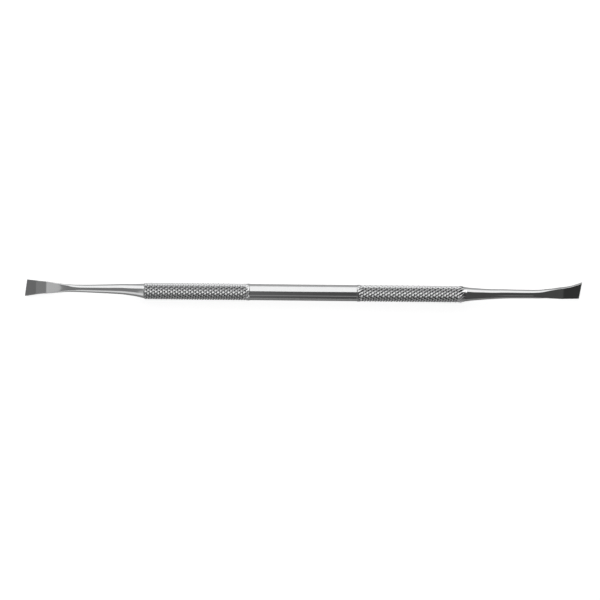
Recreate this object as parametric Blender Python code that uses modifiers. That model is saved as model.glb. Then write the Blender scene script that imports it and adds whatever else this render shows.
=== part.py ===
"""Double-ended dental scaler.

One bar of stainless steel, turned round, knurled on two grips with a plain band between them, drawn out
to a slim neck at each end and forged flat there into a fan-shaped blade. Each blade bends down at a
crease and is ground to a cutting edge. Lengths are in metres and angles in degrees.

The bar is drawn along X with its handle's axis at y = z = 0 and its left end at -X. It is then laid on
its blades, as it comes to rest on a table.
"""

import math
from dataclasses import dataclass

import bmesh
import bpy
from mathutils import Matrix, Vector

# Handle
BAND_DIAMETER = 0.00500
BAND_LENGTH = 0.03300
GRIP_DIAMETER = 0.00525
LEFT_GRIP_LENGTH = 0.03240
RIGHT_GRIP_LENGTH = 0.03300
SHOULDER_CHAMFER = 0.00040
BAND_CHAMFER = 0.00045

# Diamond knurl
DIAMONDS_AROUND = 14
LEFT_DIAMOND_LENGTH = 0.00160
RIGHT_DIAMOND_LENGTH = 0.00165
KNURL_DEPTH = 0.00036
LEFT_KNURL_TURN = -3.5
RIGHT_KNURL_TURN = 1.0
TURNING_ALLOWANCE = 0.00003
DIE_WALL = 0.00120

# Left end: a positive skew puts the edge's +Y corner ahead, a positive roll lifts it
LEFT_SHANK_LENGTH = 0.02060
LEFT_NECK_DIAMETER = 0.00229
LEFT_BLADE_LENGTH = 0.01640
LEFT_BLADE_WIDTH = 0.00512
LEFT_BLADE_THICKNESS = 0.00080
LEFT_EDGE_SKEW = -8.0
LEFT_EDGE_ANGLE = 45.0
LEFT_ROLL = -3.6
LEFT_SWAY = 0.00090

# Right end
RIGHT_SHANK_LENGTH = 0.02120
RIGHT_NECK_DIAMETER = 0.00265
RIGHT_BLADE_LENGTH = 0.01545
RIGHT_BLADE_WIDTH = 0.00512
RIGHT_BLADE_THICKNESS = 0.00080
RIGHT_EDGE_SKEW = 10.5
RIGHT_EDGE_ANGLE = 48.0
RIGHT_ROLL = 20.0
RIGHT_SWAY = 0.00049

# Both blades
CORNER_RADIUS = 0.00014
EDGE_LAND = 0.00010
FLAT_FROM_NECK = 0.00880
CREASE_FROM_TIP = 0.00640
CREASE_LENGTH = 0.00180
DIP_BEFORE_CREASE = 7.0
DIP_AT_CREASE = 14.0
DIP_AFTER_CREASE = 6.0

# Curves of the ends, as (share of the length, share of the change)
LEFT_TAPER = [
    (0.0, 0.0), (0.10, 0.26), (0.17, 0.38), (0.29, 0.53),
    (0.47, 0.71), (0.68, 0.85), (0.88, 0.96), (1.0, 1.0),
]
RIGHT_TAPER = [
    (0.0, 0.0), (0.05, 0.15), (0.10, 0.29), (0.19, 0.45),
    (0.30, 0.64), (0.43, 0.78), (0.72, 0.94), (1.0, 1.0),
]
LEFT_FLARE = [
    (0.0, 0.0), (0.15, 0.02), (0.34, 0.20), (0.49, 0.41),
    (0.57, 0.50), (0.64, 0.53), (0.72, 0.62), (1.0, 1.0),
]
RIGHT_FLARE = [
    (0.0, 0.0), (0.22, 0.05), (0.40, 0.17), (0.53, 0.30),
    (0.64, 0.40), (0.75, 0.53), (0.89, 0.76), (1.0, 1.0),
]
LEFT_SWAY_CURVE = [
    (0.0, 0.0), (0.10, 0.35), (0.20, 0.55), (0.45, 0.59),
    (0.60, 0.66), (0.75, 0.80), (0.90, 1.0), (1.0, 0.98),
]
RIGHT_SWAY_CURVE = [
    (0.0, 0.0), (0.20, 0.22), (0.35, 0.50), (0.60, 0.52),
    (0.70, 0.92), (0.79, 1.0), (0.90, 0.80), (1.0, 0.76),
]
THINNING = [(0.0, 0.0), (0.2, 0.18), (0.5, 0.66), (0.75, 0.90), (1.0, 1.0)]

# How finely the bar is faceted: an even number of sides, with steps counted from the middle of each side
SIDES = 42
SIDE_STEPS = 1
CORNER_STEPS = 5
BEND_STEPS = 200
SHANK_SECTIONS = [0.05, 0.11, 0.18, 0.27, 0.39, 0.55, 0.76]
BLADE_SECTIONS = 22
BLADE_OVERRUN = 0.08
GRINDING_BLOCK_SIZE = 0.01040
SHARP_EDGE_ANGLE = 30.0
LAYING_ROUNDS = 8

grip_radius = GRIP_DIAMETER / 2
valley_radius = grip_radius - KNURL_DEPTH
shoulder_radius = valley_radius - TURNING_ALLOWANCE
half_band = BAND_LENGTH / 2
left_grip_end = -half_band - LEFT_GRIP_LENGTH
right_grip_end = half_band + RIGHT_GRIP_LENGTH


def ease(share):
    """Go from 0 to 1, level at both ends."""
    share = max(0.0, min(1.0, share))
    return share * share * (3 - 2 * share)


def read_curve(curve, share):
    """Height of a smooth curve through its points, which doesn't overshoot between them."""
    share = max(0.0, min(1.0, share))
    slopes = []
    for (x0, y0), (x1, y1) in zip(curve, curve[1:]):
        slopes.append((y1 - y0) / (x1 - x0))
    bends = [slopes[0]]
    for before, after in zip(slopes, slopes[1:]):
        turns_back = before * after <= 0
        bends.append(0.0 if turns_back else 2 * before * after / (before + after))
    bends.append(slopes[-1])
    index = 0
    while share > curve[index + 1][0]:
        index += 1
    x0, y0 = curve[index]
    x1, y1 = curve[index + 1]
    span = x1 - x0
    u = (share - x0) / span
    leaving = u * (1 - u) ** 2 * span * bends[index]
    arriving = u * u * (u - 1) * span * bends[index + 1]
    return y0 + (y1 - y0) * ease(u) + leaving + arriving


@dataclass
class End:
    """One end of the bar, from its shoulder to a little past its cutting edge."""

    direction: int
    grip_end: float
    shank_length: float
    neck_diameter: float
    taper: list
    blade_length: float
    blade_width: float
    blade_thickness: float
    flare: list
    roll: float
    sway: float
    sway_curve: list

    def blade_share(self, distance):
        return (distance - self.shank_length) / self.blade_length

    def half_width(self, distance):
        """Half the bar's width at a distance from the shoulder."""
        if distance < self.shank_length:
            taper = read_curve(self.taper, distance / self.shank_length)
            return shoulder_radius + (self.neck_diameter / 2 - shoulder_radius) * taper
        share = self.blade_share(distance)
        last_slope = (1 - self.flare[-2][1]) / (1 - self.flare[-2][0])
        flare = read_curve(self.flare, share) + max(0.0, share - 1) * last_slope
        return (self.neck_diameter + (self.blade_width - self.neck_diameter) * flare) / 2

    def half_thickness(self, distance):
        """Half the bar's thickness at a distance from the shoulder."""
        if distance < self.shank_length:
            return self.half_width(distance)
        thinned = read_curve(THINNING, self.blade_share(distance))
        return (self.neck_diameter + (self.blade_thickness - self.neck_diameter) * thinned) / 2

    def dip(self, distance):
        """Slope of the blade below the handle's axis: a gentle start, the crease, then a slight curl."""
        from_tip = self.shank_length + self.blade_length - distance
        start = ease((self.blade_length - from_tip) / (self.blade_length - CREASE_FROM_TIP))
        crease = ease((CREASE_FROM_TIP + CREASE_LENGTH / 2 - from_tip) / CREASE_LENGTH)
        curl = max(0.0, 1 - from_tip / CREASE_FROM_TIP)
        return math.radians(DIP_BEFORE_CREASE * start + DIP_AT_CREASE * crease + DIP_AFTER_CREASE * curl)

    def distances(self):
        """Where the bar has a cross-section."""
        shank = [self.shank_length * share for share in SHANK_SECTIONS]
        shares = [step / BLADE_SECTIONS for step in range(BLADE_SECTIONS + 1)] + [1 + BLADE_OVERRUN]
        return shank + [self.shank_length + self.blade_length * share for share in shares]

    def frame(self, distance):
        """Centre and unit axes (forward, across, up) of the cross-section at a distance."""
        point = Vector((0.0, 0.0, 0.0))
        for step in range(BEND_STEPS):
            dip = self.dip(distance * (step + 0.5) / BEND_STEPS)
            point += Vector((math.cos(dip), 0.0, -math.sin(dip))) * distance / BEND_STEPS
        dip = self.dip(distance)
        rolled = Matrix.Rotation(math.radians(self.roll), 3, "X")
        centre = rolled @ point
        forward = rolled @ Vector((math.cos(dip), 0.0, -math.sin(dip)))
        across = rolled @ Vector((0.0, 1.0, 0.0))
        up = rolled @ Vector((math.sin(dip), 0.0, math.cos(dip)))
        whole_share = distance / (self.shank_length + self.blade_length)
        centre.y += self.sway * read_curve(self.sway_curve, whole_share)
        centre.x = self.grip_end + self.direction * (SHOULDER_CHAMFER + centre.x)
        forward.x *= self.direction
        up.x *= self.direction
        return centre, forward, across, up

    def ring(self, distance):
        """Points of the cross-section at a distance: round in the shank, a flat bar in the blade."""
        centre, _, across, up = self.frame(distance)
        flatness = ease((distance - self.shank_length) / FLAT_FROM_NECK)
        outline = section(self.half_width(distance), self.half_thickness(distance), flatness)
        return [centre + across * y + up * z for y, z in outline]


left_end = End(
    direction=-1,
    grip_end=left_grip_end,
    shank_length=LEFT_SHANK_LENGTH,
    neck_diameter=LEFT_NECK_DIAMETER,
    taper=LEFT_TAPER,
    blade_length=LEFT_BLADE_LENGTH,
    blade_width=LEFT_BLADE_WIDTH,
    blade_thickness=LEFT_BLADE_THICKNESS,
    flare=LEFT_FLARE,
    roll=LEFT_ROLL,
    sway=LEFT_SWAY,
    sway_curve=LEFT_SWAY_CURVE,
)

right_end = End(
    direction=1,
    grip_end=right_grip_end,
    shank_length=RIGHT_SHANK_LENGTH,
    neck_diameter=RIGHT_NECK_DIAMETER,
    taper=RIGHT_TAPER,
    blade_length=RIGHT_BLADE_LENGTH,
    blade_width=RIGHT_BLADE_WIDTH,
    blade_thickness=RIGHT_BLADE_THICKNESS,
    flare=RIGHT_FLARE,
    roll=RIGHT_ROLL,
    sway=RIGHT_SWAY,
    sway_curve=RIGHT_SWAY_CURVE,
)


def section(half_width, half_thickness, flatness):
    """A cross-section's points (y, z), from even turns on a circle at flatness 0 to a flat bar at 1.

    The bar's upper corners are rounded, and its lower ones are ground square.
    """
    quarter = SIDES / 4
    top_start = SIDE_STEPS + CORNER_STEPS
    points = []
    for index in range(SIDES):
        step = index % (2 * quarter)
        if step > quarter:
            step = 2 * quarter - step
        below = index > 2 * quarter
        last_corner = 0.0 if below else CORNER_RADIUS
        corner = min(half_width, half_thickness + (last_corner - half_thickness) * flatness)
        even_turn = step / quarter
        bar_turn = max(0.0, min(1.0, (step - SIDE_STEPS) / CORNER_STEPS))
        turn = math.pi / 2 * (even_turn + (bar_turn - even_turn) * flatness)
        corner_y = (half_width - corner) * min(1.0, (quarter - step) / (quarter - top_start))
        corner_z = (half_thickness - corner) * min(1.0, step / (top_start if below else SIDE_STEPS))
        y = corner_y + corner * math.cos(turn)
        z = corner_z + corner * math.sin(turn)
        points.append((-y if quarter < index < 3 * quarter else y, -z if below else z))
    return points


def new_object(name, data, collection):
    obj = bpy.data.objects.new(name, data)
    collection.objects.link(obj)
    return obj


def object_from_bmesh(name, shape, collection):
    """Finish a bmesh as a named object with its faces pointing out."""
    bmesh.ops.recalc_face_normals(shape, faces=shape.faces)
    mesh = bpy.data.meshes.new(name)
    shape.to_mesh(mesh)
    shape.free()
    return new_object(name, mesh, collection)


def turned_handle(collection):
    """The handle's blank turned from its profile, along X and open at both ends."""
    blank_radius = grip_radius + TURNING_ALLOWANCE
    profile = [
        (shoulder_radius, right_grip_end + SHOULDER_CHAMFER),
        (blank_radius, right_grip_end),
        (blank_radius, half_band + BAND_CHAMFER),
        (BAND_DIAMETER / 2, half_band),
        (BAND_DIAMETER / 2, -half_band),
        (blank_radius, -half_band - BAND_CHAMFER),
        (blank_radius, left_grip_end),
        (shoulder_radius, left_grip_end - SHOULDER_CHAMFER),
    ]
    mesh = bpy.data.meshes.new("handle_profile")
    edges = [(index, index + 1) for index in range(len(profile) - 1)]
    mesh.from_pydata([(radius, 0.0, height) for radius, height in profile], edges, [])
    drawn = new_object("handle_profile", mesh, collection)
    screw = drawn.modifiers.new("turn", "SCREW")
    screw.steps = SIDES
    screw.render_steps = SIDES
    screw.use_merge_vertices = True
    screw.merge_threshold = 0.00001
    blank = bmesh.new()
    blank.from_mesh(drawn.evaluated_get(bpy.context.evaluated_depsgraph_get()).to_mesh())
    bpy.data.objects.remove(drawn)
    along_x = Matrix.Rotation(math.radians(90), 4, "X") @ Matrix.Rotation(math.radians(90), 4, "Y")
    bmesh.ops.transform(blank, matrix=along_x, verts=blank.verts)
    return blank


def open_loop(shape, x, direction):
    """The edges of the opening that lies at x or beyond it."""
    reach = x * direction - TURNING_ALLOWANCE
    loop = []
    for edge in shape.edges:
        if edge.is_boundary and all(vert.co.x * direction > reach for vert in edge.verts):
            loop.append(edge)
    return loop


def extruded(shape, loop):
    """Extrude an open loop, and give each new vertex with the one it came from, and the new loop."""
    old_verts = {vert for edge in loop for vert in edge.verts}
    grown = bmesh.ops.extrude_edge_only(shape, edges=loop)["geom"]
    new_verts = {item for item in grown if isinstance(item, bmesh.types.BMVert)}
    pairs = []
    for vert in new_verts:
        for edge in vert.link_edges:
            if edge.other_vert(vert) in old_verts:
                pairs.append((vert, edge.other_vert(vert)))
    edges = [item for item in grown if isinstance(item, bmesh.types.BMEdge)]
    return pairs, [edge for edge in edges if set(edge.verts) <= new_verts]


def draw_out(bar, end):
    """Draw the bar's open end out through the end's cross-sections, and close it."""
    loop = open_loop(bar, end.grip_end, end.direction)
    places = {}
    for vert in {vert for edge in loop for vert in edge.verts}:
        places[vert] = round(math.atan2(vert.co.z, vert.co.y) / (2 * math.pi) * SIDES) % SIDES
    for distance in end.distances():
        ring = end.ring(distance)
        pairs, loop = extruded(bar, loop)
        places = {vert: places[source] for vert, source in pairs}
        for vert, place in places.items():
            vert.co = ring[place]
    bmesh.ops.contextual_create(bar, geom=loop)


def push_out(verts, radius):
    """Move vertices straight out from the handle's axis to a radius."""
    for vert in verts:
        scale = radius / math.hypot(vert.co.y, vert.co.z)
        vert.co.y *= scale
        vert.co.z *= scale


def as_cutter(obj):
    obj.hide_render = True
    obj.display_type = "WIRE"
    return obj


def knurl_die(name, band_end, grip_end, diamond_length, turn, collection):
    """Sleeve whose inside is the knurl, from the band to just past the shoulder.

    Each cell of a tube is poked, and the cells' old edges are dissolved. What is left are the two crossing
    families of grooves, and the diamonds between them are poked out to their crests.
    """
    direction = 1 if grip_end > band_end else -1
    half_diamonds = math.ceil((abs(grip_end - band_end) + SHOULDER_CHAMFER) * 2 / diamond_length)
    cut_length = half_diamonds * diamond_length / 2
    cells = math.ceil(half_diamonds / 2) + 2
    tube_length = cells * diamond_length
    die = bmesh.new()
    bmesh.ops.create_cone(die, segments=DIAMONDS_AROUND, radius1=valley_radius, radius2=valley_radius,
                          depth=tube_length)
    middle = band_end + direction * (tube_length / 2 - diamond_length)
    placing = Matrix.Translation((middle, 0, 0)) @ Matrix.Rotation(math.radians(turn), 4, "X")
    bmesh.ops.transform(die, matrix=placing @ Matrix.Rotation(math.radians(90), 4, "Y"), verts=die.verts)
    lengthwise = [edge for edge in die.edges if not edge.is_boundary]
    bmesh.ops.subdivide_edges(die, edges=lengthwise, cuts=cells - 1)
    old_edges = [edge for edge in die.edges if not edge.is_boundary]
    crossings = bmesh.ops.poke(die, faces=die.faces[:])["verts"]
    push_out(crossings, valley_radius)
    bmesh.ops.dissolve_edges(die, edges=old_edges)
    diamonds = [face for face in die.faces if len(face.verts) == 4]
    crests = bmesh.ops.poke(die, faces=diamonds)["verts"]
    push_out(crests, grip_radius)

    rims = []
    for x, outward in ((band_end, -direction), (band_end + direction * cut_length, direction)):
        everything = die.verts[:] + die.edges[:] + die.faces[:]
        bmesh.ops.bisect_plane(die, geom=everything, dist=0.000001, plane_co=(x, 0, 0),
                               plane_no=(outward, 0, 0), clear_outer=True)
        pairs, rim = extruded(die, open_loop(die, x, outward))
        for vert, _ in pairs:
            vert.co.x += outward * DIE_WALL
        push_out([vert for vert, _ in pairs], grip_radius + DIE_WALL)
        rims += rim
    bmesh.ops.bridge_loops(die, edges=rims)
    return as_cutter(object_from_bmesh(name, die, collection))


def grinding_block(name, size, origin, facing, sideways, collection):
    """A block that takes off all that lies in front of a plane."""
    block = bmesh.new()
    bmesh.ops.create_cube(block, size=size)
    obj = as_cutter(object_from_bmesh(name, block, collection))
    axes = Matrix((facing, sideways, facing.cross(sideways))).transposed().to_4x4()
    obj.matrix_world = Matrix.Translation(origin + facing * size / 2) @ axes
    return obj


def edge_blocks(side, end, skew, edge_angle, bevel_side, collection):
    """Blocks that trim the blade to its skewed end and grind a bevel on its upper (+1) or lower (-1) face."""
    centre, forward, across, up = end.frame(end.shank_length + end.blade_length)
    lead = math.radians(skew)
    facing = forward * math.cos(lead) - across * math.sin(lead)
    sideways = across * math.cos(lead) + forward * math.sin(lead)
    trim = grinding_block(side + "_trim", GRINDING_BLOCK_SIZE, centre, facing, sideways, collection)
    face = up * bevel_side
    foot = centre - face * (end.blade_thickness / 2 - EDGE_LAND)
    angle = math.radians(edge_angle)
    slope = facing * math.sin(angle) + face * math.cos(angle)
    bevel = grinding_block(side + "_bevel", GRINDING_BLOCK_SIZE, foot, slope, sideways, collection)
    return [trim, bevel]


def cut(obj, cutter):
    boolean = obj.modifiers.new(cutter.name, "BOOLEAN")
    boolean.operation = "DIFFERENCE"
    boolean.solver = "EXACT"
    boolean.object = cutter


def polished_steel():
    material = bpy.data.materials.new("polished_steel")
    material.use_nodes = True
    shader = material.node_tree.nodes["Principled BSDF"]
    shader.inputs["Base Color"].default_value = (0.60, 0.60, 0.60, 1.0)
    shader.inputs["Metallic"].default_value = 1.0
    shader.inputs["Roughness"].default_value = 0.18
    return material


def lay_down(holder, obj):
    """Turn the bar until three feet touch the table: both corners of the left edge and the right blade.

    The origin then lies on the table under the middle of the bar's box.
    """
    evaluated = obj.evaluated_get(bpy.context.evaluated_depsgraph_get())
    points = [vert.co.copy() for vert in evaluated.to_mesh().vertices]
    evaluated.to_mesh_clear()
    table = Vector((0.0, 0.0, 1.0))
    middle = left_end.frame(left_end.shank_length + left_end.blade_length)[0].y
    left_points = [point for point in points if point.x < left_grip_end]
    for _ in range(LAYING_ROUNDS):
        height = table.dot
        near = min((point for point in left_points if point.y < middle), key=height)
        far = min((point for point in left_points if point.y > middle), key=height)
        right = min((point for point in points if point.x > right_grip_end), key=height)
        table = (right - near).cross(far - near).normalized()
    laid = table.rotation_difference(Vector((0.0, 0.0, 1.0))).to_matrix()
    placed = [laid @ point for point in points]
    lowest = [min(point[axis] for point in placed) for axis in range(3)]
    highest = [max(point[axis] for point in placed) for axis in range(3)]
    holder.rotation_euler = laid.to_euler()
    holder.location = (-(lowest[0] + highest[0]) / 2, -(lowest[1] + highest[1]) / 2, -lowest[2])


def build():
    for obj in list(bpy.data.objects):
        bpy.data.objects.remove(obj)
    pieces = bpy.data.collections.new("dental_scaler")
    cutters = bpy.data.collections.new("cutters")
    bpy.context.scene.collection.children.link(pieces)
    bpy.context.scene.collection.children.link(cutters)

    bar = turned_handle(pieces)
    draw_out(bar, left_end)
    draw_out(bar, right_end)
    scaler = object_from_bmesh("scaler", bar, pieces)
    scaler.data.materials.append(polished_steel())

    left_knurl = (LEFT_DIAMOND_LENGTH, LEFT_KNURL_TURN)
    right_knurl = (RIGHT_DIAMOND_LENGTH, RIGHT_KNURL_TURN)
    tools = [
        knurl_die("left_knurl_die", -half_band, left_grip_end, *left_knurl, cutters),
        knurl_die("right_knurl_die", half_band, right_grip_end, *right_knurl, cutters),
    ]
    tools += edge_blocks("left", left_end, LEFT_EDGE_SKEW, LEFT_EDGE_ANGLE, -1, cutters)
    tools += edge_blocks("right", right_end, RIGHT_EDGE_SKEW, RIGHT_EDGE_ANGLE, 1, cutters)
    holder = new_object("laid_bar", None, pieces)
    scaler.parent = holder
    for tool in tools:
        tool.parent = holder
        cut(scaler, tool)
    scaler.data.shade_smooth()
    scaler.data.set_sharp_from_angle(angle=math.radians(SHARP_EDGE_ANGLE))
    lay_down(holder, scaler)


build()
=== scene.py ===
"""Double-ended dental scaler on a white table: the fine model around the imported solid, and its studio.

The bar is made along X with its handle's axis at y = z = 0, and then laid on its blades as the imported
solid lies. The grips are wrapped by Geometry Nodes, the rest of the bar is drawn out from their rims ring
by ring, and the blades are ground by planes. Lengths are in metres and angles in degrees.
"""

import math
from dataclasses import dataclass

import bmesh
import bpy
from mathutils import Euler, Matrix, Vector


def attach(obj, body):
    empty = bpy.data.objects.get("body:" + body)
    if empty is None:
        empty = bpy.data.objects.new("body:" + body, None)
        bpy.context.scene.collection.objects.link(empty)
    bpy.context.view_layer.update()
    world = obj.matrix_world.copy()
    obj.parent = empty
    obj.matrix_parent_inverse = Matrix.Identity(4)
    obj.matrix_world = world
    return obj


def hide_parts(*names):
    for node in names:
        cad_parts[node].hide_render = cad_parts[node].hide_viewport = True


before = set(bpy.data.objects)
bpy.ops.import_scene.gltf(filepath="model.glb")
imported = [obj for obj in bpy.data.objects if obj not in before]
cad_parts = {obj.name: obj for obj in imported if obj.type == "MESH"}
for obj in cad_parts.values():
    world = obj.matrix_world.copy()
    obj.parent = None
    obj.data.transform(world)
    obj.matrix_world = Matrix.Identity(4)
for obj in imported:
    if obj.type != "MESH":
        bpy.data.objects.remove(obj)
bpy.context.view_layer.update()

# How the bar lies: its turns about X and Y, and where its handle's middle comes
BAR_TILT = (0.0183, -0.2397)
BAR_PLACE = Vector((-0.0000428, -0.0007570, 0.0036055))

# Handle
BAND_RADIUS = 0.00250
CREST_RADIUS = 0.002625
SHOULDER_RADIUS = 0.002235
HALF_BAND = 0.01650
SHOULDER_CHAMFER = 0.00040

# Diamond knurl, with its rise from the band and its grooves' run-outs counted in diamonds
DIAMONDS_AROUND = 14
STEPS_PER_DIAMOND = 10
GROOVE_DEPTH = 0.00036
CREST_ROUNDING = 1.4
FLAT_FLANKS = 0.15
BAND_RISE = 0.10
BAND_RUN_OUT = 0.80
SHOULDER_RUN_OUT = 0.30
WELD_DISTANCE = 0.000002

# Rings of the bar's ends, with steps counted from the middle of each side
SIDES = DIAMONDS_AROUND * STEPS_PER_DIAMOND
SIDE_STEPS = 4
CORNER_STEPS = 16
SHANK_RINGS = 30
BLADE_RINGS = 72
CREASE_RINGS = 7
FIRST_RING = 0.00015
LEAST_RING_GAP = 0.00005
BEND_STEPS = 400
RIM_REACH = 0.00010
BAND_LOOP_INSET = 0.00020

# Both blades
CORNER_RADIUS = 0.00014
EDGE_LAND = 0.00010
CREASE_LENGTH = 0.00045
BLADE_OVERRUN = 0.08
THINNING = [(0.0, 0.0), (0.2, 0.18), (0.5, 0.66), (0.75, 0.90), (1.0, 1.0)]
ON_PLANE = 0.0000005
SHARP_EDGE_ANGLE = 30.0

# Camera: metres a pixel at the bar, and the pixel that shows the handle's middle
PICTURE_SIZE = 600
PIXEL = 0.0003088
HANDLE_PIXEL = (303.35, 292.58)
CAMERA_TURN = 0.6
LENS = 200.0
SENSOR = 36.0


def ease(share):
    """Go from 0 to 1, level at both ends."""
    share = max(0.0, min(1.0, share))
    return share * share * (3 - 2 * share)


def read_curve(curve, share):
    """Height of a smooth curve through its points, which doesn't overshoot between them."""
    share = max(0.0, min(1.0, share))
    slopes = [(y1 - y0) / (x1 - x0) for (x0, y0), (x1, y1) in zip(curve, curve[1:])]
    bends = [slopes[0]]
    for before, after in zip(slopes, slopes[1:]):
        bends.append(0.0 if before * after <= 0 else 2 * before * after / (before + after))
    bends.append(slopes[-1])
    index = 0
    while share > curve[index + 1][0]:
        index += 1
    x0, y0 = curve[index]
    x1, y1 = curve[index + 1]
    span = x1 - x0
    u = (share - x0) / span
    leaving = u * (1 - u) ** 2 * span * bends[index]
    arriving = u * u * (u - 1) * span * bends[index + 1]
    return y0 + (y1 - y0) * ease(u) + leaving + arriving


@dataclass
class Grip:
    """One knurled grip, with shift, starts and stops counted in diamonds from the band."""

    name: str
    outward: int
    diamond_length: float
    length: float
    turn: float
    shift: float
    first_start: float
    second_start: float
    first_stop: float
    second_stop: float
    chamfer: float

    def rows(self):
        diamonds = (self.length + SHOULDER_CHAMFER) / self.diamond_length
        return math.ceil(round(diamonds * STEPS_PER_DIAMOND, 3))


@dataclass
class End:
    """One end of the bar, from its shoulder to a little past its cutting edge.

    Each curve goes from 0 to 1 over its own part. A crease is its distance from the tip and its turn.
    """

    outward: int
    grip_end: float
    shank_length: float
    neck_diameter: float
    taper: list
    blade_length: float
    blade_width: float
    blade_thickness: float
    flare: list
    flat_start: float
    flat_length: float
    early_dip: float
    creases: list
    roll: float
    sway: float
    sway_curve: list
    edge_skew: float
    edge_angle: float
    bevel_side: int

    def blade_share(self, distance):
        return (distance - self.shank_length) / self.blade_length

    def half_width(self, distance):
        if distance < self.shank_length:
            taper = read_curve(self.taper, distance / self.shank_length)
            return SHOULDER_RADIUS + (self.neck_diameter / 2 - SHOULDER_RADIUS) * taper
        share = self.blade_share(distance)
        last_slope = (1 - self.flare[-2][1]) / (1 - self.flare[-2][0])
        flare = read_curve(self.flare, share) + max(0.0, share - 1) * last_slope
        return (self.neck_diameter + (self.blade_width - self.neck_diameter) * flare) / 2

    def half_thickness(self, distance):
        if distance < self.shank_length:
            return self.half_width(distance)
        thinned = read_curve(THINNING, self.blade_share(distance))
        return (self.neck_diameter + (self.blade_thickness - self.neck_diameter) * thinned) / 2

    def dip(self, distance):
        """Slope of the blade below the handle's axis, in radians."""
        from_tip = self.shank_length + self.blade_length - distance
        first_crease = self.creases[0][0]
        dip = self.early_dip * ease((self.blade_length - from_tip) / (self.blade_length - first_crease))
        for crease, turn in self.creases:
            dip += turn * ease((crease + CREASE_LENGTH / 2 - from_tip) / CREASE_LENGTH)
        return math.radians(dip)

    def distances(self):
        """Where the bar has a ring: evenly spaced, and closer at the creases."""
        spaced = [FIRST_RING] + [self.shank_length * (step + 1) / SHANK_RINGS for step in range(SHANK_RINGS)]
        blade = []
        for step in range(BLADE_RINGS):
            blade.append(self.shank_length + self.blade_length * (step + 1) / BLADE_RINGS)
        blade_end = self.shank_length + self.blade_length
        for crease, _ in self.creases:
            for step in range(CREASE_RINGS):
                blade.append(blade_end - crease + CREASE_LENGTH * (step / (CREASE_RINGS - 1) - 0.5))
        blade.append(blade_end + self.blade_length * BLADE_OVERRUN)
        for distance in sorted(blade):
            if distance - spaced[-1] > LEAST_RING_GAP:
                spaced.append(distance)
        return spaced

    def frame(self, distance):
        """Centre and unit axes (forward, across, up) of the cross-section at a distance."""
        point = Vector((0.0, 0.0, 0.0))
        for step in range(BEND_STEPS):
            dip = self.dip(distance * (step + 0.5) / BEND_STEPS)
            point += Vector((math.cos(dip), 0.0, -math.sin(dip))) * distance / BEND_STEPS
        dip = self.dip(distance)
        rolled = Matrix.Rotation(math.radians(self.roll), 3, "X")
        centre = rolled @ point
        forward = rolled @ Vector((math.cos(dip), 0.0, -math.sin(dip)))
        across = rolled @ Vector((0.0, 1.0, 0.0))
        up = rolled @ Vector((math.sin(dip), 0.0, math.cos(dip)))
        share = distance / (self.shank_length + self.blade_length)
        centre.y += self.sway * read_curve(self.sway_curve, share)
        centre.x = self.grip_end + self.outward * (SHOULDER_CHAMFER + centre.x)
        forward.x *= self.outward
        up.x *= self.outward
        return centre, forward, across, up

    def ring(self, distance):
        centre, _, across, up = self.frame(distance)
        flatness = ease((distance - self.shank_length - self.flat_start) / self.flat_length)
        outline = section(self.half_width(distance), self.half_thickness(distance), flatness)
        return [centre + across * y + up * z for y, z in outline]


def section(half_width, half_thickness, flatness):
    """A cross-section's points (y, z), from even turns on a circle at flatness 0 to a flat bar at 1."""
    quarter = SIDES / 4
    top_start = SIDE_STEPS + CORNER_STEPS
    points = []
    for index in range(SIDES):
        step = index % (2 * quarter)
        if step > quarter:
            step = 2 * quarter - step
        below = index > 2 * quarter
        last_corner = 0.0 if below else CORNER_RADIUS
        corner = min(half_width, half_thickness + (last_corner - half_thickness) * flatness)
        even_turn = step / quarter
        bar_turn = max(0.0, min(1.0, (step - SIDE_STEPS) / CORNER_STEPS))
        turn = math.pi / 2 * (even_turn + (bar_turn - even_turn) * flatness)
        corner_y = (half_width - corner) * min(1.0, (quarter - step) / (quarter - top_start))
        corner_z = (half_thickness - corner) * min(1.0, step / (top_start if below else SIDE_STEPS))
        y = corner_y + corner * math.cos(turn)
        z = corner_z + corner * math.sin(turn)
        points.append((-y if quarter < index < 3 * quarter else y, -z if below else z))
    return points


left_grip = Grip(
    name="left_grip",
    outward=-1,
    diamond_length=0.00160,
    length=0.03240,
    turn=-3.5,
    shift=-0.1,
    first_start=0.1,
    second_start=0.4,
    first_stop=30.0,
    second_stop=30.0,
    chamfer=0.00075,
)

right_grip = Grip(
    name="right_grip",
    outward=1,
    diamond_length=0.00165,
    length=0.03300,
    turn=1.0,
    shift=0.5,
    first_start=0.3,
    second_start=0.1,
    first_stop=19.3,
    second_stop=30.0,
    chamfer=0.00130,
)

left_end = End(
    outward=-1,
    grip_end=-HALF_BAND - left_grip.length,
    shank_length=0.02060,
    neck_diameter=0.00229,
    taper=[
        (0.0, 0.0), (0.10, 0.26), (0.17, 0.38), (0.29, 0.53),
        (0.47, 0.71), (0.68, 0.85), (0.88, 0.96), (1.0, 1.0),
    ],
    blade_length=0.01640,
    blade_width=0.00512,
    blade_thickness=0.00080,
    flare=[
        (0.0, 0.0), (0.15, 0.02), (0.34, 0.20), (0.49, 0.41),
        (0.57, 0.50), (0.64, 0.53), (0.72, 0.62), (1.0, 1.0),
    ],
    flat_start=-0.0020,
    flat_length=0.0125,
    early_dip=7.0,
    creases=[(0.00695, 12.15), (0.00360, 5.5)],
    roll=-3.6,
    sway=0.00090,
    sway_curve=[
        (0.0, 0.0), (0.10, 0.35), (0.20, 0.55), (0.45, 0.59),
        (0.60, 0.66), (0.75, 0.80), (0.90, 1.0), (1.0, 0.98),
    ],
    edge_skew=-8.0,
    edge_angle=45.0,
    bevel_side=-1,
)

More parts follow.
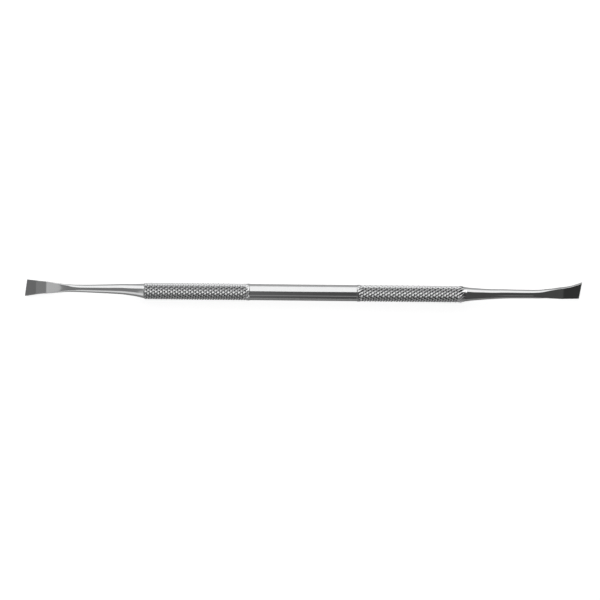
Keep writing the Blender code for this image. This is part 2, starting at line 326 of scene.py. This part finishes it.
right_end = End(
    outward=1,
    grip_end=HALF_BAND + right_grip.length,
    shank_length=0.02120,
    neck_diameter=0.00265,
    taper=[
        (0.0, 0.0), (0.05, 0.15), (0.10, 0.29), (0.19, 0.45),
        (0.30, 0.64), (0.43, 0.78), (0.72, 0.94), (1.0, 1.0),
    ],
    blade_length=0.01545,
    blade_width=0.00512,
    blade_thickness=0.00080,
    flare=[
        (0.0, 0.0), (0.22, 0.05), (0.40, 0.17), (0.53, 0.30),
        (0.64, 0.40), (0.75, 0.53), (0.89, 0.76), (1.0, 1.0),
    ],
    flat_start=0.0010,
    flat_length=0.0078,
    early_dip=7.0,
    creases=[(0.00640, 14.0), (0.00310, 6.0)],
    roll=20.0,
    sway=0.00049,
    sway_curve=[
        (0.0, 0.0), (0.20, 0.22), (0.35, 0.50), (0.60, 0.52),
        (0.70, 0.92), (0.79, 1.0), (0.90, 0.80), (1.0, 0.76),
    ],
    edge_skew=10.5,
    edge_angle=48.0,
    bevel_side=1,
)


class Wiring:
    """Short ways to add the nodes of one tree and to join them."""

    def __init__(self, tree):
        self.tree = tree

    def feed(self, socket, value):
        if isinstance(value, bpy.types.NodeSocket):
            self.tree.links.new(value, socket)
        else:
            socket.default_value = value

    def add(self, kind, inputs=(), **settings):
        """A node with its settings, and its inputs as a list in order or a dict by name or number."""
        node = self.tree.nodes.new(kind)
        for name, value in settings.items():
            setattr(node, name, value)
        pairs = inputs.items() if isinstance(inputs, dict) else enumerate(inputs)
        for key, value in pairs:
            self.feed(node.inputs[key], value)
        return node

    def maths(self, operation, *values, kind="ShaderNodeMath"):
        return self.add(kind, values, operation=operation).outputs[0]

    def clamped(self, value):
        return self.maths("MINIMUM", self.maths("MAXIMUM", value, 0.0), 1.0)

    def mixed(self, low, high, share):
        """low where share is 0 and high where it is 1."""
        return self.maths("MULTIPLY_ADD", self.maths("SUBTRACT", high, low), share, low)

    def noise(self, place, scale, detail):
        inputs = {"Vector": place, "Scale": scale, "Detail": detail}
        return self.add("ShaderNodeTexNoise", inputs).outputs["Fac"]


KNURL_INPUTS = {
    "Rows": "NodeSocketInt",
    "Diamonds Around": "NodeSocketInt",
    "Steps per Diamond": "NodeSocketInt",
    "Diamond Length": "NodeSocketFloat",
    "Band End": "NodeSocketFloat",
    "Outward": "NodeSocketFloat",
    "Turn": "NodeSocketFloat",
    "Shift": "NodeSocketFloat",
    "Band Radius": "NodeSocketFloat",
    "Crest Radius": "NodeSocketFloat",
    "Groove Depth": "NodeSocketFloat",
    "Crest Rounding": "NodeSocketFloat",
    "Flat Flanks": "NodeSocketFloat",
    "Band Rise": "NodeSocketFloat",
    "Band Run-Out": "NodeSocketFloat",
    "Shoulder Run-Out": "NodeSocketFloat",
    "First Grooves Start": "NodeSocketFloat",
    "Second Grooves Start": "NodeSocketFloat",
    "First Grooves Stop": "NodeSocketFloat",
    "Second Grooves Stop": "NodeSocketFloat",
    "Shoulder Start": "NodeSocketFloat",
    "Shoulder Length": "NodeSocketFloat",
    "Shoulder Radius": "NodeSocketFloat",
    "Steel": "NodeSocketMaterial",
}


def knurl_tree():
    """Geometry Nodes that wrap a sheet of diamonds, ruled off by two crossing families of grooves."""
    tree = bpy.data.node_groups.new("diamond_knurl", "GeometryNodeTree")
    for name, kind in KNURL_INPUTS.items():
        tree.interface.new_socket(name, in_out="INPUT", socket_type=kind)
    tree.interface.new_socket("Grip", in_out="OUTPUT", socket_type="NodeSocketGeometry")
    wiring = Wiring(tree)
    maths = wiring.maths
    given = wiring.add("NodeGroupInput").outputs

    # Until the sheet is wrapped, lengths along and around are counted in diamonds
    length = maths("DIVIDE", given["Rows"], given["Steps per Diamond"])
    around_steps = maths("MULTIPLY", given["Diamonds Around"], given["Steps per Diamond"])
    sheet = wiring.add("GeometryNodeMeshGrid", {
        "Size X": length,
        "Size Y": given["Diamonds Around"],
        "Vertices X": maths("ADD", given["Rows"], 1),
        "Vertices Y": maths("ADD", around_steps, 1),
    })
    place = wiring.add("ShaderNodeSeparateXYZ", [wiring.add("GeometryNodeInputPosition").outputs[0]]).outputs
    along = maths("MULTIPLY_ADD", length, 0.5, place["X"])
    around = maths("MULTIPLY_ADD", given["Diamonds Around"], 0.5, place["Y"])
    shifted = maths("ADD", along, given["Shift"])
    first = maths("PINGPONG", maths("ADD", shifted, around), 0.5)
    second = maths("PINGPONG", maths("SUBTRACT", shifted, around), 0.5)

    # Each square of the sheet is split along its nearer groove, so that grooves and crests stay straight
    near_first = wiring.add("FunctionNodeCompare", {"A": first, "B": second}, operation="LESS_THAN")
    split = wiring.add("GeometryNodeTriangulate", {
        "Mesh": sheet.outputs["Mesh"],
        "Selection": near_first.outputs[0],
    }, quad_method="FIXED_ALTERNATE")
    split = wiring.add("GeometryNodeTriangulate", {"Mesh": split.outputs["Mesh"]}, quad_method="FIXED")

    heights = []
    for name, distance in (("First", first), ("Second", second)):
        after_start = maths("SUBTRACT", along, given[name + " Grooves Start"])
        before_stop = maths("SUBTRACT", given[name + " Grooves Stop"], along)
        started = maths("DIVIDE", after_start, given["Band Run-Out"])
        stopped = maths("DIVIDE", before_stop, given["Shoulder Run-Out"])
        cut = maths("MULTIPLY", wiring.clamped(started), wiring.clamped(stopped))
        fall = maths("POWER", maths("MULTIPLY_ADD", distance, -2.0, 1.0), given["Crest Rounding"])
        heights.append(maths("SUBTRACT", 1.0, maths("MULTIPLY", fall, cut)))
    lower = maths("MINIMUM", *heights)
    height = wiring.mixed(maths("MULTIPLY", *heights), lower, given["Flat Flanks"])
    valley = maths("SUBTRACT", given["Crest Radius"], given["Groove Depth"])
    knurled = maths("MULTIPLY_ADD", height, given["Groove Depth"], valley)
    rise = wiring.clamped(maths("DIVIDE", along, given["Band Rise"]))
    radius = wiring.mixed(given["Band Radius"], knurled, rise)

    # The grooves run out on the shoulder's chamfer
    past = maths("SUBTRACT", maths("MULTIPLY", along, given["Diamond Length"]), given["Shoulder Start"])
    drop = maths("SUBTRACT", given["Crest Radius"], given["Shoulder Radius"])
    slope = maths("DIVIDE", drop, given["Shoulder Length"])
    chamfer = maths("SUBTRACT", given["Crest Radius"], maths("MULTIPLY", maths("MAXIMUM", past, 0.0), slope))
    radius = maths("MAXIMUM", maths("MINIMUM", radius, chamfer), given["Shoulder Radius"])

    full_turns = maths("DIVIDE", around, given["Diamonds Around"])
    angle = maths("SUBTRACT", maths("MULTIPLY", full_turns, 2 * math.pi), given["Turn"])
    outward = maths("MULTIPLY", given["Outward"], given["Diamond Length"])
    wrapped = wiring.add("ShaderNodeCombineXYZ", [
        maths("MULTIPLY_ADD", along, outward, given["Band End"]),
        maths("MULTIPLY", radius, maths("SINE", angle)),
        maths("MULTIPLY", radius, maths("COSINE", angle)),
    ])
    grip = wiring.add("GeometryNodeStoreNamedAttribute", {
        "Geometry": split.outputs["Mesh"],
        "Name": "hollow",
        "Value": maths("MULTIPLY", maths("SUBTRACT", 1.0, lower), rise),
    }, data_type="FLOAT", domain="POINT")
    grip = wiring.add("GeometryNodeSetPosition", {
        "Geometry": grip.outputs[0],
        "Position": wrapped.outputs[0],
    })
    grip = wiring.add("GeometryNodeMergeByDistance", {
        "Geometry": grip.outputs[0],
        "Distance": WELD_DISTANCE,
    })
    grip = wiring.add("GeometryNodeRealizeInstances", [grip.outputs[0]])
    grip = wiring.add("GeometryNodeSetMaterial", {"Geometry": grip.outputs[0], "Material": given["Steel"]})
    wiring.add("NodeGroupOutput", [grip.outputs[0]])
    return tree


def knurled_mesh(grip, tree, steel):
    """The plain mesh of one grip, open at both ends."""
    sizes = {
        "Rows": grip.rows(),
        "Diamonds Around": DIAMONDS_AROUND,
        "Steps per Diamond": STEPS_PER_DIAMOND,
        "Diamond Length": grip.diamond_length,
        "Band End": grip.outward * HALF_BAND,
        "Outward": float(grip.outward),
        "Turn": math.radians(grip.turn),
        "Shift": grip.shift,
        "Band Radius": BAND_RADIUS,
        "Crest Radius": CREST_RADIUS,
        "Groove Depth": GROOVE_DEPTH,
        "Crest Rounding": CREST_ROUNDING,
        "Flat Flanks": FLAT_FLANKS,
        "Band Rise": BAND_RISE,
        "Band Run-Out": BAND_RUN_OUT,
        "Shoulder Run-Out": SHOULDER_RUN_OUT,
        "First Grooves Start": grip.first_start,
        "Second Grooves Start": grip.second_start,
        "First Grooves Stop": grip.first_stop,
        "Second Grooves Stop": grip.second_stop,
        "Shoulder Start": grip.length + SHOULDER_CHAMFER - grip.chamfer,
        "Shoulder Length": grip.chamfer,
        "Shoulder Radius": SHOULDER_RADIUS,
        "Steel": steel,
    }
    blank = bpy.data.objects.new(grip.name, bpy.data.meshes.new(grip.name))
    bpy.context.scene.collection.objects.link(blank)
    modifier = blank.modifiers.new("knurl", "NODES")
    modifier.node_group = tree
    for socket in tree.interface.items_tree:
        if socket.in_out == "INPUT":
            modifier[socket.identifier] = sizes[socket.name]
    evaluated = blank.evaluated_get(bpy.context.evaluated_depsgraph_get())
    mesh = bpy.data.meshes.new_from_object(evaluated)
    bpy.data.objects.remove(blank)
    return mesh


def all_parts(bar):
    return bar.verts[:] + bar.edges[:] + bar.faces[:]


def rim_edges(bar, low, high):
    """The open edges whose ends both lie between two values of x."""
    rim = []
    for edge in bar.edges:
        if edge.is_boundary and all(low < vert.co.x < high for vert in edge.verts):
            rim.append(edge)
    return rim


def draw_out(bar, end, rim):
    """Draw an open rim out through the end's rings, and close it."""
    ring = [None] * SIDES
    for vert in {vert for edge in rim for vert in edge.verts}:
        place = round(math.atan2(vert.co.z, vert.co.y) / (2 * math.pi) * SIDES) % SIDES
        ring[place] = vert
    for distance in end.distances():
        new_ring = [bar.verts.new(point) for point in end.ring(distance)]
        for index in range(SIDES):
            bar.faces.new((ring[index - 1], ring[index], new_ring[index], new_ring[index - 1]))
        ring = new_ring
    bar.faces.new(ring)


def grind(bar, origin, facing):
    """Take off all that lies in front of a plane, and close the ground face."""
    cut = bmesh.ops.bisect_plane(
        bar, geom=all_parts(bar), dist=ON_PLANE, plane_co=origin, plane_no=facing, clear_outer=True,
    )["geom_cut"]
    edges = [item for item in cut if isinstance(item, bmesh.types.BMEdge)]
    bmesh.ops.holes_fill(bar, edges=edges, sides=0)


def grind_edge(bar, end):
    """Trim the blade to its skewed end and grind its bevel."""
    centre, forward, across, up = end.frame(end.shank_length + end.blade_length)
    skew = math.radians(end.edge_skew)
    facing = forward * math.cos(skew) - across * math.sin(skew)
    grind(bar, centre, facing)
    face = up * end.bevel_side
    foot = centre - face * (end.blade_thickness / 2 - EDGE_LAND)
    angle = math.radians(end.edge_angle)
    grind(bar, foot, facing * math.sin(angle) + face * math.cos(angle))


def steel_bar(steel):
    """The whole instrument as one closed mesh."""
    tree = knurl_tree()
    bar = bmesh.new()
    for grip in (left_grip, right_grip):
        bar.from_mesh(knurled_mesh(grip, tree, steel))
    band_rims = HALF_BAND + RIM_REACH
    bmesh.ops.bridge_loops(bar, edges=rim_edges(bar, -band_rims, band_rims))
    # Loops near the band's ends keep its shading level along its length
    for x in (BAND_LOOP_INSET - HALF_BAND, HALF_BAND - BAND_LOOP_INSET):
        bmesh.ops.bisect_plane(bar, geom=all_parts(bar), plane_co=(x, 0, 0), plane_no=(1, 0, 0))
    for end in (left_end, right_end):
        low, high = sorted((end.outward * band_rims, end.outward))
        draw_out(bar, end, rim_edges(bar, low, high))
    for end in (left_end, right_end):
        grind_edge(bar, end)
    bmesh.ops.triangulate(bar, faces=[face for face in bar.faces if len(face.verts) > 4])
    bmesh.ops.recalc_face_normals(bar, faces=bar.faces)
    tilt = Euler([math.radians(angle) for angle in BAR_TILT] + [0.0])
    laid = Matrix.Translation(BAR_PLACE) @ tilt.to_matrix().to_4x4()
    bmesh.ops.transform(bar, matrix=laid, verts=bar.verts)
    mesh = bpy.data.meshes.new("scaler_bar")
    bar.to_mesh(mesh)
    bar.free()
    mesh.materials.clear()
    mesh.materials.append(steel)
    mesh.shade_smooth()
    mesh.set_sharp_from_angle(angle=math.radians(SHARP_EDGE_ANGLE))
    obj = bpy.data.objects.new("scaler_bar", mesh)
    bpy.context.scene.collection.objects.link(obj)
    return obj


def polished_steel():
    """Bright stainless steel with fine polishing marks round the bar, duller in the grooves, and with
    painted shade darkening its colour in them.
    """
    steel_colour = (0.618, 0.622, 0.626)
    painted_shade_in_grooves = 0.58
    smear_shades = (0.97, 1.03)
    dullness_range = (0.05, 0.17)
    uneven_dullness = 0.035
    along_marks = (1.0, 0.06, 0.06)
    mark_depth = 0.000002
    material = bpy.data.materials.new("polished_steel")
    material.use_nodes = True
    tree = material.node_tree
    shader = tree.nodes["Principled BSDF"]
    wiring = Wiring(tree)
    place = wiring.add("ShaderNodeTexCoord").outputs["Object"]
    stretched = wiring.maths("MULTIPLY", place, along_marks, kind="ShaderNodeVectorMath")
    marks = wiring.noise(stretched, 9000.0, 2.0)
    smears = wiring.noise(place, 260.0, 3.0)
    hollow = wiring.add("ShaderNodeAttribute", attribute_name="hollow").outputs["Fac"]
    groove_shade_and_dullness = wiring.maths("POWER", hollow, 3.0)

    smeared = wiring.mixed(*smear_shades, smears)
    # Painted shade: the steel's colour is darkened in the grooves, most at their bottoms
    shade = wiring.maths("MULTIPLY", wiring.mixed(1.0, painted_shade_in_grooves, groove_shade_and_dullness), smeared)
    colour = wiring.add("ShaderNodeVectorMath", {0: steel_colour, "Scale": shade}, operation="SCALE")
    wiring.feed(shader.inputs["Base Color"], colour.outputs[0])
    uneven = wiring.maths("MULTIPLY", wiring.maths("ADD", smears, marks), uneven_dullness)
    wiring.feed(shader.inputs["Roughness"], wiring.maths("ADD", wiring.mixed(*dullness_range, groove_shade_and_dullness), uneven))
    bump = wiring.add("ShaderNodeBump", {"Strength": 0.25, "Distance": mark_depth, "Height": marks})
    wiring.feed(shader.inputs["Normal"], bump.outputs[0])
    shader.inputs["Metallic"].default_value = 1.0
    return material


def glowing_card(name, corners, strength):
    """A lamp-lit card of the studio, seen only in reflections."""
    mesh = bpy.data.meshes.new(name)
    mesh.from_pydata(corners, [], [tuple(range(len(corners)))])
    card = bpy.data.objects.new(name, mesh)
    bpy.context.scene.collection.objects.link(card)
    material = bpy.data.materials.new(name)
    material.use_nodes = True
    tree = material.node_tree
    tree.nodes.clear()
    wiring = Wiring(tree)
    glow = wiring.add("ShaderNodeEmission", {"Strength": strength})
    wiring.add("ShaderNodeOutputMaterial", [glow.outputs[0]])
    mesh.materials.append(material)
    card.visible_camera = False


def far_softbox():
    """The main light, sloping down behind the bar, with a round upper edge that is highest at the band."""
    near_y = 0.07
    height = 0.33
    rim = [
        (-0.215, 1.0), (-0.215, 0.50), (-0.18, 0.40), (-0.13, 0.30), (-0.10, 0.20), (-0.09, 0.15),
        (-0.05, 0.03), (0.0, 0.00), (0.05, 0.07), (0.08, 0.24), (0.10, 0.32), (0.13, 0.37), (0.18, 0.42),
        (0.215, 0.50), (0.215, 1.0),
    ]
    corners = [(x, near_y + height * drop, height - height * drop) for x, drop in rim]
    glowing_card("far_softbox", corners, 1.40)


def far_strips():
    """Two strips of light beside the softbox, which the grips' facets catch from the middle outwards."""
    for name, side in (("far_left_strip", -1), ("far_right_strip", 1)):
        glowing_card(name, [
            (side * 0.15, 0.15, 0.24), (side * 0.265, 0.15, 0.24),
            (side * 0.265, 0.39, 0.00), (side * 0.15, 0.39, 0.00),
        ], 1.70)


def near_cards():
    """Two cards on the near side, for the light lines low along the bar."""
    glowing_card("near_left_softbox", [
        (-0.21, -0.26, 0.25), (-0.085, -0.26, 0.25), (-0.085, -0.42, 0.01), (-0.21, -0.42, 0.01),
    ], 1.00)
    glowing_card("near_strip", [
        (-0.085, -0.314, 0.349), (0.12, -0.314, 0.349), (0.12, -0.38, 0.276), (-0.085, -0.38, 0.276),
    ], 0.33)


def white_table():
    """A matt table that looks white from anywhere, and whose glow seen in the steel is lower on its near
    half, a painted shade.
    """
    size = 3.0
    below_blades = 0.00001
    paper_grey = 0.55
    glow = 0.85
    near_painted_shade, far_reflection = 0.07, 0.36
    growth, start = 60.0, 0.2
    corners = [(-size, -size), (size, -size), (size, size), (-size, size)]
    mesh = bpy.data.meshes.new("white_table")
    mesh.from_pydata([(x, y, -below_blades) for x, y in corners], [], [(0, 1, 2, 3)])
    table = bpy.data.objects.new("white_table", mesh)
    bpy.context.scene.collection.objects.link(table)
    material = bpy.data.materials.new("white_table")
    material.use_nodes = True
    tree = material.node_tree
    tree.nodes.clear()
    wiring = Wiring(tree)
    paper = wiring.add("ShaderNodeBsdfDiffuse", {"Color": (paper_grey, paper_grey, paper_grey, 1.0)})
    ray = wiring.add("ShaderNodeLightPath").outputs
    seen = wiring.maths("ADD", ray["Is Camera Ray"], ray["Is Transmission Ray"])
    place = wiring.add("ShaderNodeTexCoord").outputs["Object"]
    depth = wiring.add("ShaderNodeSeparateXYZ", [place]).outputs["Y"]
    beyond = wiring.clamped(wiring.maths("MULTIPLY_ADD", depth, growth, start))
    # Painted shade: in the steel, the table's near half glows less than its far half
    reflected_with_painted_shade = wiring.mixed(near_painted_shade, far_reflection, beyond)
    seen = wiring.maths("MULTIPLY_ADD", ray["Is Glossy Ray"], reflected_with_painted_shade, seen)
    light = wiring.add("ShaderNodeEmission", {"Strength": wiring.maths("MULTIPLY", seen, glow)})
    both = wiring.add("ShaderNodeAddShader", [paper.outputs[0], light.outputs[0]])
    wiring.add("ShaderNodeOutputMaterial", [both.outputs[0]])
    mesh.materials.append(material)


def studio_world():
    """A white backdrop, and a dim room that is darker to the right in the steel's reflections."""
    world = bpy.data.worlds.new("studio")
    bpy.context.scene.world = world
    world.use_nodes = True
    tree = world.node_tree
    tree.nodes.clear()
    wiring = Wiring(tree)
    sky = wiring.add("ShaderNodeTexCoord").outputs["Generated"]
    side = wiring.add("ShaderNodeSeparateXYZ", [sky]).outputs["X"]
    ramp = wiring.add("ShaderNodeValToRGB", [wiring.maths("MULTIPLY_ADD", side, 0.5, 0.5)])
    # How light the room is, by how far to the left (-1) or right (1) a reflection points
    room = [
        (-1.0, 0.19), (-0.84, 0.20), (-0.75, 0.295), (-0.64, 0.31), (-0.5, 0.58), (-0.42, 0.67),
        (-0.365, 0.65), (-0.33, 0.32), (-0.25, 0.29), (-0.20, 0.27), (-0.10, 0.25), (-0.03, 0.20),
        (0.0, 0.085), (0.4, 0.09), (0.7, 0.045), (1.0, 0.05),
    ]
    while len(ramp.color_ramp.elements) < len(room):
        ramp.color_ramp.elements.new(0.5)
    for element, (x, level) in zip(ramp.color_ramp.elements, room):
        element.position = x / 2 + 0.5
        element.color = (level, level, level, 1.0)
    dim = wiring.add("ShaderNodeBackground", {"Color": ramp.outputs["Color"], "Strength": 1.0})
    white = wiring.add("ShaderNodeBackground", {"Color": (1.0, 1.0, 1.0, 1.0), "Strength": 1.0})
    ray = wiring.add("ShaderNodeLightPath").outputs
    seen = wiring.maths("MAXIMUM", ray["Is Camera Ray"], ray["Is Transmission Ray"])
    mix = wiring.add("ShaderNodeMixShader", [seen, dim.outputs[0], white.outputs[0]])
    wiring.add("ShaderNodeOutputWorld", [mix.outputs[0]])


def overhead_camera():
    """Straight above the bar, turned a little so that the bar's right end lies lower in the picture."""
    turn = math.radians(CAMERA_TURN)
    camera = bpy.data.cameras.new("overhead")
    camera.lens = LENS
    camera.sensor_width = SENSOR
    camera.clip_end = 10.0
    obj = bpy.data.objects.new("overhead", camera)
    bpy.context.scene.collection.objects.link(obj)
    height = PIXEL * PICTURE_SIZE * LENS / SENSOR
    half = PICTURE_SIZE / 2
    right, up = HANDLE_PIXEL[0] - half, half - HANDLE_PIXEL[1]
    aside = Matrix.Rotation(turn, 3, "Z") @ Vector((right, up, 0)) * PIXEL
    obj.location = BAR_PLACE - aside + Vector((0, 0, height))
    obj.rotation_euler = (0, 0, turn)
    bpy.context.scene.camera = obj


steel = polished_steel()
bar = steel_bar(steel)
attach(bar, "root")
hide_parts("scaler")

white_table()
studio_world()
far_softbox()
far_strips()
near_cards()
overhead_camera()
bpy.context.scene.view_settings.view_transform = "Standard"
